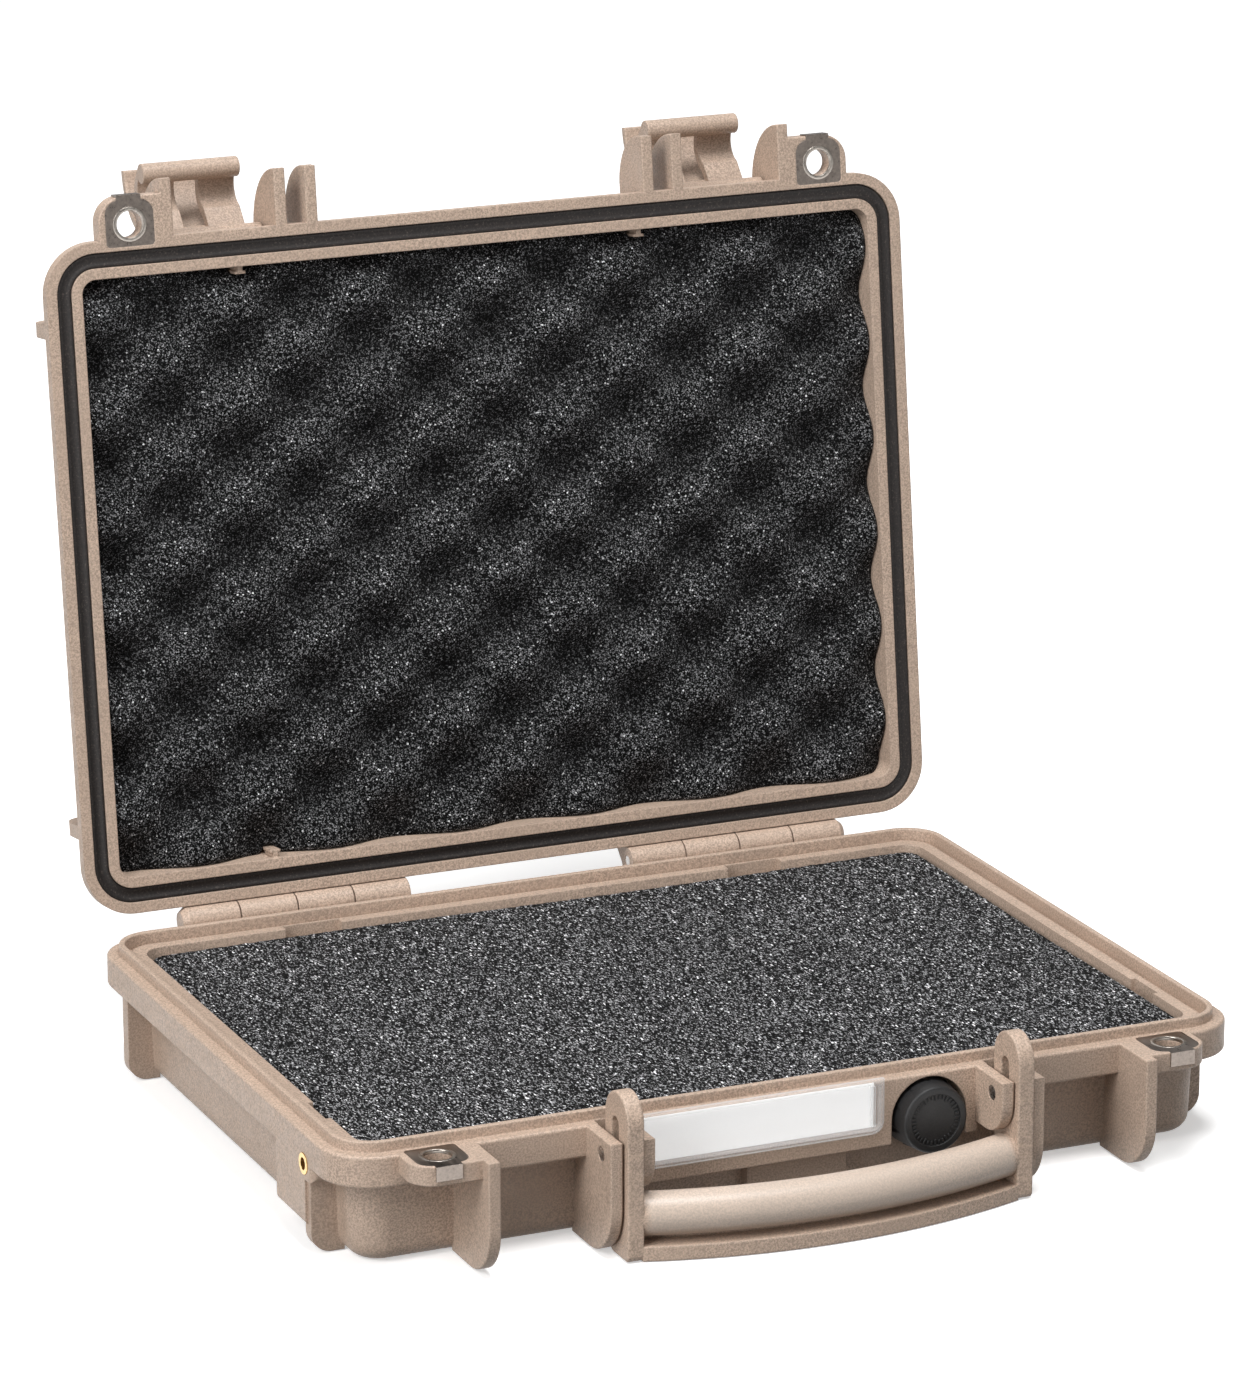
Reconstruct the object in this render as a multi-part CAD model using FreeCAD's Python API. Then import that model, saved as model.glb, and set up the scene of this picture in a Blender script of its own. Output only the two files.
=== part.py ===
"""Small waterproof hard equipment case, drawn with its lid open, its latches thrown back
and its handle hanging. One STEP file per separate piece. Millimetres.

+X runs to the right, -Y to the front (the handle side) and +Z up. The origin is the centre of
the base's underside. Every lid piece is drawn closed first and then turned about the hinge, and
every latch is drawn closed and then turned about its own pin, so that all of them fit when shut.
"""
import FreeCAD, Part
import math
import os

# ---- driving dimensions (mm) -------------------------------------------------------------------
CASE_WIDTH = 326.0
CASE_DEPTH = 236.0
BASE_HEIGHT = 40.5            # floor to the base's parting face
LID_HEIGHT = 34.3             # lid's parting face to its top
PARTING_GAP = 0.2             # between the two parting faces when shut
RIM_RADIUS = 18.0             # plan radius of the flanges' corners
INNER_WIDTH = 300.0
INNER_DEPTH = 210.0
BASE_INNER_RADIUS = 8.0
LID_INNER_RADIUS = 5.0
WALL_INSET = 9.4              # from the flange's side back to the lower wall
DRAFT_INSET = 1.1             # how much the walls draw in over their height
FLOOR_THICKNESS = 4.0
FLANGE_HEIGHT = 10.7

TONGUE_INSET = 4.2            # flange side to the sealing tongue's outer face
TONGUE_WIDTH = 2.1
TONGUE_HEIGHT = 3.6
LIP_INSET = 8.6               # flange side to the inner lip
VALLEY_DEPTH = 1.4
GROOVE_INSET = 3.9            # flange side to the lid's gasket groove
GROOVE_WIDTH = 5.3
GROOVE_DEPTH = 6.2
GASKET_HEIGHT = 2.2

LID_ANGLE = 97.0              # how far the lid opens
HINGE_SETBACK = 5.5           # flange's back face to the hinge axis
HINGE_RISE = 1.45             # base's parting face to the hinge axis
KNUCKLE_RADIUS = 5.2
KNUCKLE_PITCH = 21.5
KNUCKLE_START = 43.0          # centre line to the inner end of a hinge
KNUCKLE_COUNT = 4
KNUCKLE_GAP = 0.5
LAST_KNUCKLE_TAPER = 2.0      # length of the cone at each hinge's outer end
HINGE_PIN_RADIUS = 2.0
HINGE_PIN_END = 124.5         # the pin's hole stops short of the last knuckle's outer end

FRONT_REACH = 19.4            # flange's front face to the ribs' front edges
PLATE_THICKNESS = 4.2         # every front rib, clevis plate and fin
OUTER_RIB_X = 115.5           # inner faces of the ribs beside the latches
CLEVIS_OUTER_X = 73.5         # inner faces of the outer clevis plates
CLEVIS_INNER_X = 62.1         # inner faces of the inner clevis plates
FIN_HEIGHT = 24.0             # lid fins, from the parting face up
RIB_ROUNDING = 0.5

SIDE_RIB_Y = 85.4             # centre line to the side ribs
SIDE_RIB_THICKNESS = 5.0

LOCK_X = 131.3                # padlock hole centres
LOCK_Y = -123.0
LOCK_HOLE_RADIUS = 4.8
LOCK_TAB_THICKNESS = 6.8
LOCK_TAB_FRONT = -132.8
LOCK_TAB_OUTER = 142.5        # outer edge of the tabs
LOCK_PLATE_THICKNESS = 1.2

LATCH_ANGLE = 131.9           # from hooked to thrown right back
LATCH_PIVOT_Y = -115.0
LATCH_PIVOT_RISE = 14.65      # lid's parting face to the latch pin, when shut
LATCH_WIDTH = 36.0
LATCH_X = 96.6
LATCH_PIN_RADIUS = 1.6
LATCH_ROLL_RADIUS = 3.6
LATCH_BARREL_RADIUS = 3.4
LATCH_SLOT = 9.0

HANDLE_PIN_Y = -129.6
HANDLE_PIN_Z = 34.9
HANDLE_PIN_RADIUS = 2.5
HANDLE_ARM_X = 66.9           # inner faces of the handle's arms
HANDLE_ARM_THICKNESS = 5.8
HANDLE_SLOT_RADIUS = 2.6
HANDLE_SLOT_TRAVEL = 9.4
HANDLE_LOOP_RADIUS = 9.2
HANDLE_FRONT_Y = -139.6
HANDLE_BOW = 11.0             # how far the grip bows out between its arms

VALVE_X = 45.0
VALVE_Z = 25.7
VALVE_KNOB_RADIUS = 12.9      # at its back; the sides draw in towards the face
VALVE_FACE_RADIUS = 11.4
VALVE_KNOB_FRONT = -123.4
VALVE_STEM_RADIUS = 4.0
VALVE_RECESS = 8.6            # panel's face back to the recess's floor

INSERT_RADIUS = 3.6
INSERT_LENGTH = 8.0
INSERT_Y = -87.0
INSERT_Z = 30.0
INSERT_THREAD_RADIUS = 2.1

FOAM_RIBS = ((-91.5, -1), (-91.5, 1), (60.0, -1))     # x, and -1 on the lid's front wall or +1 on its back
FOAM_RIB_BAR = 1.9            # half the width of a rib's crossbar

LABEL_X0, LABEL_X1 = -60.3, 27.7
LABEL_Z0, LABEL_Z1 = 22.8, 41.8    # the cover's lip stands up past the parting face
LABEL_CARD = 0.4
LABEL_COVER = 2.6

RUNNING_CLEARANCE = 0.05      # radial, every pin in the piece that turns on it
FOAM_GAP = 0.3

# ---- positions worked out from them ------------------------------------------------------------
HALF_WIDTH = CASE_WIDTH / 2
HALF_DEPTH = CASE_DEPTH / 2
WALL_HALF_WIDTH = HALF_WIDTH - WALL_INSET
WALL_HALF_DEPTH = HALF_DEPTH - WALL_INSET
FLANGE_BOTTOM = BASE_HEIGHT - FLANGE_HEIGHT
FRONT_FACE = -HALF_DEPTH
RIB_FRONT = FRONT_FACE - FRONT_REACH
LID_FACE = BASE_HEIGHT + PARTING_GAP
LID_TOP = LID_FACE + LID_HEIGHT
HINGE_Y = HALF_DEPTH + HINGE_SETBACK
HINGE_Z = BASE_HEIGHT + HINGE_RISE
LATCH_PIVOT_Z = LID_FACE + LATCH_PIVOT_RISE
X_AXIS = FreeCAD.Vector(1, 0, 0)
Y_AXIS = FreeCAD.Vector(0, 1, 0)
Z_AXIS = FreeCAD.Vector(0, 0, 1)


# ---- shape helpers -----------------------------------------------------------------------------
def vec(x, y, z):
    return FreeCAD.Vector(x, y, z)


def box(x0, x1, y0, y1, z0, z1):
    """Block between two corners."""
    return Part.makeBox(x1 - x0, y1 - y0, z1 - z0, vec(x0, y0, z0))


def rod_x(radius, x0, x1, y, z):
    """Cylinder along X."""
    return Part.makeCylinder(radius, x1 - x0, vec(x0, y, z), X_AXIS)


def rod_y(radius, y0, y1, x, z):
    """Cylinder along Y."""
    return Part.makeCylinder(radius, y1 - y0, vec(x, y0, z), Y_AXIS)


def rod_z(radius, z0, z1, x, y):
    """Cylinder along Z."""
    return Part.makeCylinder(radius, z1 - z0, vec(x, y, z0), Z_AXIS)


def rounded_wire(half_x, half_y, radius, z):
    """Rounded rectangle about the Z axis at height z."""
    corners = [(1, -1, -90), (1, 1, 0), (-1, 1, 90), (-1, -1, 180)]
    edges = []
    points = []
    for sign_x, sign_y, start in corners:
        cx = sign_x * (half_x - radius)
        cy = sign_y * (half_y - radius)
        arc = [vec(cx + radius * math.cos(math.radians(start + turn)),
                   cy + radius * math.sin(math.radians(start + turn)), z) for turn in (0, 45, 90)]
        points.append(arc)
    for index, arc in enumerate(points):
        edges.append(Part.Arc(*arc).toShape())
        edges.append(Part.LineSegment(arc[2], points[(index + 1) % 4][0]).toShape())
    return Part.Wire(edges)


def rounded_block(half_x, half_y, radius, z0, z1):
    """Upright block with rounded corners in plan."""
    return Part.Face(rounded_wire(half_x, half_y, radius, z0)).extrude(vec(0, 0, z1 - z0))


def rounded_loft(lower, upper):
    """Drafted block between two (half_x, half_y, radius, z) outlines."""
    return Part.makeLoft([rounded_wire(*lower), rounded_wire(*upper)], True, True)


def rim_ring(inset, width, z0, z1):
    """Ring that follows the flange, from inset to inset + width."""
    def block(step, low, high):
        radius = max(RIM_RADIUS - step, 3.0)
        return rounded_block(HALF_WIDTH - step, HALF_DEPTH - step, radius, low, high)
    return block(inset, z0, z1).cut(block(inset + width, z0 - 1, z1 + 1))


def plate_x(outline, x0, x1):
    """Flat plate from x0 to x1 whose (y, z) outline is straight points and ('arc', mid, end) steps."""
    edges = []
    here = outline[0]
    for step in list(outline[1:]) + [outline[0]]:
        start = vec(x0, here[0], here[1])
        if step[0] == "arc":
            middle, end = step[1], step[2]
            edges.append(Part.Arc(start, vec(x0, *middle), vec(x0, *end)).toShape())
            here = end
        else:
            edges.append(Part.LineSegment(start, vec(x0, *step)).toShape())
            here = step
    return Part.Face(Part.Wire(edges)).extrude(vec(x1 - x0, 0, 0))


def mirror_x(shape):
    return shape.mirror(vec(0, 0, 0), X_AXIS)


def both_sides(shape):
    """The shape and its mirror image, as a list."""
    return [shape, mirror_x(shape)]


def fuse(shapes):
    first, rest = shapes[0], list(shapes[1:])
    return first.multiFuse(rest).removeSplitter() if rest else first


def soften(shape, radius, pick):
    """Fillets the edges that pick accepts, one at a time, leaving any that can't take the radius."""
    edges = [edge for edge in shape.Edges if pick(edge)]
    try:
        rounded = shape.makeFillet(radius, edges)
        if rounded.isValid() and rounded.Volume > 0:
            return rounded
    except Exception:
        pass
    return shape


def open_lid(shape):
    """Turns a piece drawn on the shut lid to where it stands with the lid open."""
    turned = shape.copy()
    turned.rotate(vec(0, HINGE_Y, HINGE_Z), X_AXIS, -LID_ANGLE)
    return turned


def open_latch(shape):
    """Turns a latch drawn shut to its thrown-back place on the open lid."""
    turned = shape.copy()
    turned.rotate(vec(0, LATCH_PIVOT_Y, LATCH_PIVOT_Z), X_AXIS, -LATCH_ANGLE)
    return open_lid(turned)


# ---- front ribs, fins and tabs -----------------------------------------------------------------
def base_rib(x0, bottom, corner):
    """Base plate that hangs from the parting face, with a rounded lower front corner."""
    lean = corner * (1 - math.sqrt(0.5))
    back = -WALL_HALF_DEPTH + 3.0
    outline = [(back, BASE_HEIGHT), (RIB_FRONT, BASE_HEIGHT), (RIB_FRONT, bottom + corner),
               ("arc", (RIB_FRONT + lean, bottom + lean), (RIB_FRONT + corner, bottom)), (back, bottom)]
    return ease(plate_x(outline, x0, x0 + PLATE_THICKNESS), RIB_ROUNDING, 6.0)


def ease(shape, radius, length):
    """Takes the sharpness off every edge longer than length."""
    return soften(shape, radius, lambda e: e.Length > length)


def lid_fin(x0, rise=FIN_HEIGHT, fullness=math.sqrt(0.5)):
    """Lid fin whose rounded back, fuller than a quarter round if asked, dies into the lid's wall."""
    crown = RIB_FRONT - 0.5
    back = -WALL_HALF_DEPTH + 3.0
    reach = crown + 23.0
    middle = (crown + 23.0 * (1 - fullness), LID_FACE + rise * fullness)
    outline = [(back, LID_FACE), (crown, LID_FACE), (crown, LID_FACE + 1.0),
               ("arc", middle, (reach, LID_FACE + rise)), (back, LID_FACE + rise)]
    return ease(plate_x(outline, x0, x0 + PLATE_THICKNESS), RIB_ROUNDING, 6.0)


def lock_tab(z0, z1):
    """Padlock tab beside the outer rib, with one rounded outer corner."""
    inner, outer, round_off = OUTER_RIB_X + 1.0, LOCK_TAB_OUTER, 9.0
    tab = box(inner, outer, LOCK_TAB_FRONT, FRONT_FACE + 4.0, z0, z1)
    corner = box(outer - round_off, outer + 1, LOCK_TAB_FRONT - 1, LOCK_TAB_FRONT + round_off, z0, z1)
    corner = corner.cut(rod_z(round_off, z0, z1, outer - round_off, LOCK_TAB_FRONT + round_off))
    return ease(tab.cut(corner), RIB_ROUNDING, 7.0)


def lock_plate(face, outward):
    """Steel plate let into a tab's parting face, with a clip folded over the tab's front edge.

    face is the parting face's height, and outward is +1 where the plate looks up, -1 where down."""
    half, back, front, corner = 8.8, -115.4, LOCK_TAB_FRONT + 1.3, 5.0
    low = face - LOCK_PLATE_THICKNESS if outward > 0 else face
    plate = box(LOCK_X - half, LOCK_X + half, front, back, low, low + LOCK_PLATE_THICKNESS)
    plate = soften(plate, corner, lambda e: e.BoundBox.ZLength > 1.0 and e.BoundBox.YMax < front + 0.01)
    plate = soften(plate, 1.5, lambda e: e.BoundBox.ZLength > 1.0 and e.BoundBox.YMin > back - 0.01)
    clip_half, clip_front, clip_drop = 4.5, LOCK_TAB_FRONT - 0.5, 5.0
    fold = box(LOCK_X - clip_half, LOCK_X + clip_half, clip_front, front + 1.0, low, low + LOCK_PLATE_THICKNESS)
    drop_low, drop_high = (face - clip_drop, face) if outward > 0 else (face, face + clip_drop)
    drop = box(LOCK_X - clip_half, LOCK_X + clip_half, clip_front, LOCK_TAB_FRONT, drop_low, drop_high)
    hole = rod_z(LOCK_HOLE_RADIUS, face - 20, face + 20, LOCK_X, LOCK_Y)
    return fuse([plate, fold, drop]).cut(hole)


# ---- base --------------------------------------------------------------------------------------
def base_body():
    """Lower tub, flange, sealing tongue and inner lip, before anything is added to the outside."""
    foot = (WALL_HALF_WIDTH - DRAFT_INSET, WALL_HALF_DEPTH - DRAFT_INSET, 11.0, 0.0)
    head = (WALL_HALF_WIDTH, WALL_HALF_DEPTH, 12.0, FLANGE_BOTTOM + 1)
    tub = rounded_loft(foot, head)
    tub = soften(tub, 6.0, lambda e: e.BoundBox.ZMax < 0.01)
    flange = rounded_block(HALF_WIDTH, HALF_DEPTH, RIM_RADIUS, FLANGE_BOTTOM, BASE_HEIGHT)
    flange = soften(flange, 0.9, lambda e: e.BoundBox.ZLength < 0.01)
    tongue = rim_ring(TONGUE_INSET, TONGUE_WIDTH, BASE_HEIGHT - 1, BASE_HEIGHT + TONGUE_HEIGHT)
    tongue = soften(tongue, 0.5, lambda e: e.BoundBox.ZMin > BASE_HEIGHT + TONGUE_HEIGHT - 0.01)
    valley_width = LIP_INSET - TONGUE_INSET - TONGUE_WIDTH
    valley = rim_ring(TONGUE_INSET + TONGUE_WIDTH, valley_width, BASE_HEIGHT - VALLEY_DEPTH, BASE_HEIGHT + 1)
    return fuse([tub, flange, tongue]).cut(valley)


def base_cavity():
    """Space inside the base, with a rounded floor and lip notches for fitting-out brackets."""
    low = (INNER_WIDTH / 2 - 1.5, INNER_DEPTH / 2 - 1.5, BASE_INNER_RADIUS - 1.5, FLOOR_THICKNESS)
    high = (INNER_WIDTH / 2, INNER_DEPTH / 2, BASE_INNER_RADIUS, BASE_HEIGHT + 0.5)
    cavity = rounded_loft(low, high)
    cavity = soften(cavity, 5.0, lambda e: e.BoundBox.ZMax < FLOOR_THICKNESS + 0.01)
    back_reach, side_reach, notch_low = 3.6, 1.8, BASE_HEIGHT - 7.0
    edge_y, edge_x = INNER_DEPTH / 2, INNER_WIDTH / 2
    back_notch = box(75.0, 96.0, edge_y - 1, edge_y + back_reach, notch_low, BASE_HEIGHT + 0.5)
    side_notch = box(edge_x - 1, edge_x + side_reach, -78.0, -62.0, notch_low, BASE_HEIGHT + 0.5)
    return fuse([cavity] + both_sides(back_notch) + both_sides(side_notch))


def valve_arch():
    """Arched recess that the purge valve's knob sits in, open at the bottom."""
    radius, depth_back = 13.6, FRONT_FACE + VALVE_RECESS
    top = rod_y(radius, FRONT_FACE - 1, depth_back, VALVE_X, VALVE_Z)
    way_down = box(VALVE_X - radius, VALVE_X + radius, FRONT_FACE - 1, depth_back, 10.0, VALVE_Z)
    return fuse([top, way_down])


def base_front():
    """Ribs beside the latches, clevises for the handle, padlock tabs and the label panel."""
    pieces = []
    pieces += both_sides(base_rib(OUTER_RIB_X, 0.0, 16.5))
    pieces += both_sides(base_rib(CLEVIS_OUTER_X, 0.0, 17.5))
    pieces += both_sides(base_rib(CLEVIS_INNER_X, 21.0, 12.0))
    pieces += both_sides(lock_tab(BASE_HEIGHT - LOCK_TAB_THICKNESS, BASE_HEIGHT))
    back = -WALL_HALF_DEPTH + 3.0
    panel_bottom = 17.5
    pieces.append(box(-CLEVIS_INNER_X - 1, CLEVIS_INNER_X + 1, FRONT_FACE, back, panel_bottom, FLANGE_BOTTOM + 1))
    pieces.append(box(-18.0, 18.0, FRONT_FACE + 6.0, back, 3.0, panel_bottom + 1))
    return pieces


def base_sides():
    """Side ribs, the strap bosses in front of them, and the back ribs under the hinges."""
    pieces = []
    inside = WALL_HALF_WIDTH - 3.0
    for sign in (-1, 1):
        y0, y1 = sorted((sign * SIDE_RIB_Y, sign * (SIDE_RIB_Y + SIDE_RIB_THICKNESS)))
        rib = box(inside, HALF_WIDTH - 1.0, y0, y1, 0.0, FLANGE_BOTTOM + 1)
        rib = soften(rib, 7.0, lambda e: e.BoundBox.XMin > HALF_WIDTH - 1.01 and e.BoundBox.ZMax < 0.01)
        pieces += both_sides(rib)
    boss = box(inside, HALF_WIDTH, -SIDE_RIB_Y - 2.5, -62.0, 8.4, FLANGE_BOTTOM + 1)
    boss = soften(boss, 3.0, lambda e: e.BoundBox.ZMax < 8.41 and e.BoundBox.XMin > HALF_WIDTH - 0.01)
    pieces += both_sides(boss)
    collar = box(inside, HALF_WIDTH, INSERT_Y - 6.8, INSERT_Y + 8.0, INSERT_Z - 5.2, FLANGE_BOTTOM + 1)
    collar = soften(collar, 2.4, lambda e: e.BoundBox.YMax < INSERT_Y - 6.79
                    and (e.BoundBox.ZMax < INSERT_Z - 5.19 or e.BoundBox.XMin > HALF_WIDTH - 0.01))
    pieces += both_sides(collar)
    for x in (-131.5, -40.6, 36.4, 127.3):
        back_rib = box(x, x + PLATE_THICKNESS, WALL_HALF_DEPTH - 3, HALF_DEPTH - 1.0, 0.0, FLANGE_BOTTOM + 1)
        pieces.append(soften(back_rib, 7.0,
                             lambda e: e.BoundBox.YMin > HALF_DEPTH - 1.01 and e.BoundBox.ZMax < 0.01))
    return pieces


def knuckle_span(index):
    """The x range of one hinge knuckle on the right-hand hinge, counted outwards from the centre."""
    x0 = KNUCKLE_START + index * KNUCKLE_PITCH
    return x0 + KNUCKLE_GAP / 2, x0 + KNUCKLE_PITCH - KNUCKLE_GAP / 2


def base_knuckles():
    """Every second knuckle, carried on a gusset from the base's flange."""
    pieces = []
    back_face = HALF_DEPTH - 2.0
    outline = [(back_face, FLANGE_BOTTOM), (HALF_DEPTH + 2.5, FLANGE_BOTTOM),
               (HINGE_Y + 4.6, HINGE_Z - 2.4), (HINGE_Y, HINGE_Z), (HINGE_Y - 4.4, HINGE_Z - 2.0),
               (back_face, BASE_HEIGHT - 0.4)]
    for index in range(1, KNUCKLE_COUNT, 2):
        x0, x1 = knuckle_span(index)
        last = index == KNUCKLE_COUNT - 1
        x1 -= LAST_KNUCKLE_TAPER if last else 0.0
        solids = [rod_x(KNUCKLE_RADIUS, x0, x1, HINGE_Y, HINGE_Z), plate_x(outline, x0, x1)]
        if last:
            solids.append(Part.makeCone(KNUCKLE_RADIUS, KNUCKLE_RADIUS - 1.6, LAST_KNUCKLE_TAPER,
                                        vec(x1, HINGE_Y, HINGE_Z), X_AXIS))
        pieces += both_sides(fuse(solids))
    return pieces


def base_bores():
    """Holes for the pins, inserts, plates and valve, and the relief behind the handle's arms."""
    cuts = []
    pin = HINGE_PIN_RADIUS
    cuts += both_sides(rod_x(pin, 0, HINGE_PIN_END + 0.2, HINGE_Y, HINGE_Z))
    handle_pin = rod_x(HANDLE_PIN_RADIUS + RUNNING_CLEARANCE, 60, 80, HANDLE_PIN_Y, HANDLE_PIN_Z)
    cuts += both_sides(handle_pin)
    cuts += both_sides(lock_plate(BASE_HEIGHT, 1))
    cuts += both_sides(rod_z(LOCK_HOLE_RADIUS, BASE_HEIGHT - 12, BASE_HEIGHT + 1, LOCK_X, LOCK_Y))
    relief_x0 = CLEVIS_INNER_X + PLATE_THICKNESS
    relief = box(relief_x0, CLEVIS_OUTER_X, FRONT_FACE - 0.1, FRONT_FACE + TONGUE_INSET - 0.3,
                 FLANGE_BOTTOM - 0.1, BASE_HEIGHT + 0.1)
    cuts += both_sides(relief)
    insert_hole = rod_x(INSERT_RADIUS, HALF_WIDTH - INSERT_LENGTH, HALF_WIDTH + 1, INSERT_Y, INSERT_Z)
    cuts += both_sides(insert_hole)
    cuts.append(valve_arch())
    cuts.append(rod_y(VALVE_STEM_RADIUS + 1.5, -115, -100, VALVE_X, VALVE_Z))
    return cuts


def make_base_shell():
    shell = fuse([base_body()] + base_front() + base_sides() + base_knuckles())
    for cut in [base_cavity()] + base_bores():
        shell = shell.cut(cut)
    return shell.removeSplitter()


# ---- lid ---------------------------------------------------------------------------------------
def lid_body():
    """Rim, shoulder and crowned shell, before anything is added to the outside."""
    rim_top, shoulder_top = LID_FACE + 4.2, LID_FACE + 11.0
    rim = rounded_block(HALF_WIDTH, HALF_DEPTH, RIM_RADIUS, LID_FACE, rim_top)
    shoulder = rounded_loft((HALF_WIDTH, HALF_DEPTH, RIM_RADIUS, rim_top),
                            (WALL_HALF_WIDTH + 1, WALL_HALF_DEPTH + 1, 13.0, shoulder_top))
    crown = rounded_loft((WALL_HALF_WIDTH, WALL_HALF_DEPTH, 12.0, LID_FACE + 5),
                         (WALL_HALF_WIDTH - 1.6, WALL_HALF_DEPTH - 1.6, 11.0, LID_TOP))
    crown = soften(crown, 9.0, lambda e: e.BoundBox.ZMin > LID_TOP - 0.01)
    panel = rounded_block(118.0, 72.0, 12.0, LID_TOP - 0.9, LID_TOP + 1)
    return fuse([rim, shoulder, crown]).cut(panel)


def lid_cavity():
    """Space inside the lid, with a rounded top."""
    low = (INNER_WIDTH / 2, INNER_DEPTH / 2, LID_INNER_RADIUS, LID_FACE - 0.5)
    high = (INNER_WIDTH / 2 - 1.5, INNER_DEPTH / 2 - 1.5, LID_INNER_RADIUS, LID_TOP - 3.6)
    cavity = rounded_loft(low, high)
    return soften(cavity, 4.0, lambda e: e.BoundBox.ZMin > LID_TOP - 3.61)


def lid_outside():
    """Front fins, padlock tabs, side ribs and hinge knuckles."""
    pieces = []
    pieces += both_sides(lid_fin(OUTER_RIB_X)) + both_sides(lid_fin(CLEVIS_OUTER_X))
    pieces += both_sides(lid_fin(CLEVIS_INNER_X, 21.5, 0.76))
    pieces += both_sides(lock_tab(LID_FACE, LID_FACE + LOCK_TAB_THICKNESS))
    inside = WALL_HALF_WIDTH - 3.0
    for sign in (-1, 1):
        y0, y1 = sorted((sign * SIDE_RIB_Y, sign * (SIDE_RIB_Y + SIDE_RIB_THICKNESS)))
        rib = box(inside, HALF_WIDTH - 0.4, y0, y1, LID_FACE + 0.01, LID_FACE + 21.0)
        pieces += both_sides(soften(rib, 7.0, lambda e: e.BoundBox.XMin > HALF_WIDTH - 0.41
                                    and e.BoundBox.ZMin > LID_FACE + 20.9))
    wall = WALL_HALF_DEPTH - 3.0
    outline = [(wall, LID_FACE + 1.0), (HALF_DEPTH - 0.4, LID_FACE + 0.5), (HINGE_Y - 4.4, HINGE_Z + 1.2),
               (HINGE_Y, HINGE_Z), (HINGE_Y + 4.6, HINGE_Z + 2.4), (HALF_DEPTH + 1.5, LID_FACE + 10.5),
               (wall, LID_FACE + 14.0)]
    for index in range(0, KNUCKLE_COUNT, 2):
        x0, x1 = knuckle_span(index)
        barrel = rod_x(KNUCKLE_RADIUS, x0, x1, HINGE_Y, HINGE_Z)
        pieces += both_sides(fuse([barrel, plate_x(outline, x0, x1)]))
    return pieces


def latch_pin_span():
    """The x range of the right-hand latch's pin, held in blind holes in the fins beside it."""
    return CLEVIS_OUTER_X + 1.2, OUTER_RIB_X + PLATE_THICKNESS - 1.2


def foam_rib(x, sign):
    """T-shaped rib inside the lid's front (sign -1) or back wall that the foam is keyed on."""
    wall = INNER_DEPTH / 2
    low, high = LID_FACE + 1.5, LID_FACE + 20.0
    stem = box(x - 0.9, x + 0.9, wall - 2.0, wall + 0.5, low, high)
    bar = box(x - FOAM_RIB_BAR, x + FOAM_RIB_BAR, wall - 2.8, wall - 1.8, low, high)
    rib = fuse([stem, bar])
    return rib if sign > 0 else rib.mirror(vec(0, 0, 0), Y_AXIS)


def make_lid_shell():
    shell = fuse([lid_body()] + lid_outside())
    cuts = [lid_cavity(), rim_ring(GROOVE_INSET, GROOVE_WIDTH, LID_FACE - 1, LID_FACE + GROOVE_DEPTH)]
    cuts.append(rod_x(HINGE_PIN_RADIUS + RUNNING_CLEARANCE, -140, 140, HINGE_Y, HINGE_Z))
    cuts += both_sides(lock_plate(LID_FACE, -1))
    cuts += both_sides(rod_z(LOCK_HOLE_RADIUS, LID_FACE - 1, LID_FACE + 12, LOCK_X, LOCK_Y))
    cuts += both_sides(rod_x(LATCH_PIN_RADIUS, *latch_pin_span(), LATCH_PIVOT_Y, LATCH_PIVOT_Z))
    for cut in cuts:
        shell = shell.cut(cut)
    shell = fuse([shell] + [foam_rib(x, sign) for x, sign in FOAM_RIBS])
    return open_lid(shell.removeSplitter())


def make_lid_gasket():
    clear = 0.1
    top = LID_FACE + GROOVE_DEPTH
    ring = rim_ring(GROOVE_INSET + clear, GROOVE_WIDTH - 2 * clear, top - GASKET_HEIGHT, top)
    return open_lid(ring)


# ---- foam --------------------------------------------------------------------------------------
FOAM_TOP = BASE_HEIGHT - 2.2
FOAM_PAD_HEIGHT = 8.0


def foam_block(z0, z1, inset, radius):
    """Foam cut to drop into the case between two heights."""
    return rounded_block(INNER_WIDTH / 2 - inset, INNER_DEPTH / 2 - inset, radius, z0, z1)


def make_base_foam_pad():
    z0 = FLOOR_THICKNESS + FOAM_GAP
    pad = foam_block(z0, z0 + FOAM_PAD_HEIGHT, 2.0, BASE_INNER_RADIUS - 1.5)
    return soften(pad, 5.0, lambda e: e.BoundBox.ZMax < z0 + 0.01)


def make_base_foam():
    return foam_block(FLOOR_THICKNESS + FOAM_GAP + FOAM_PAD_HEIGHT, FOAM_TOP, 1.4,
                      BASE_INNER_RADIUS - 1.5)


def make_lid_foam():
    """Foam liner in the lid, drawn as the block that its egg-crate peaks and valleys lie inside."""
    low, high = LID_FACE + 0.8, LID_TOP - 3.6 - FOAM_GAP
    slab = rounded_loft((INNER_WIDTH / 2 - 0.6, INNER_DEPTH / 2 - 0.6, LID_INNER_RADIUS, low),
                        (INNER_WIDTH / 2 - 2.0, INNER_DEPTH / 2 - 2.0, LID_INNER_RADIUS, high))
    slab = soften(slab, 4.5, lambda e: e.BoundBox.ZMin > high - 0.01)
    for x, sign in FOAM_RIBS:
        y0, y1 = sorted((sign * (INNER_DEPTH / 2 - 3.1), sign * (INNER_DEPTH / 2 + 1)))
        half = FOAM_RIB_BAR + 0.4
        slab = slab.cut(box(x - half, x + half, y0, y1, LID_FACE, LID_FACE + 20.6))
    return open_lid(slab)


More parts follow.
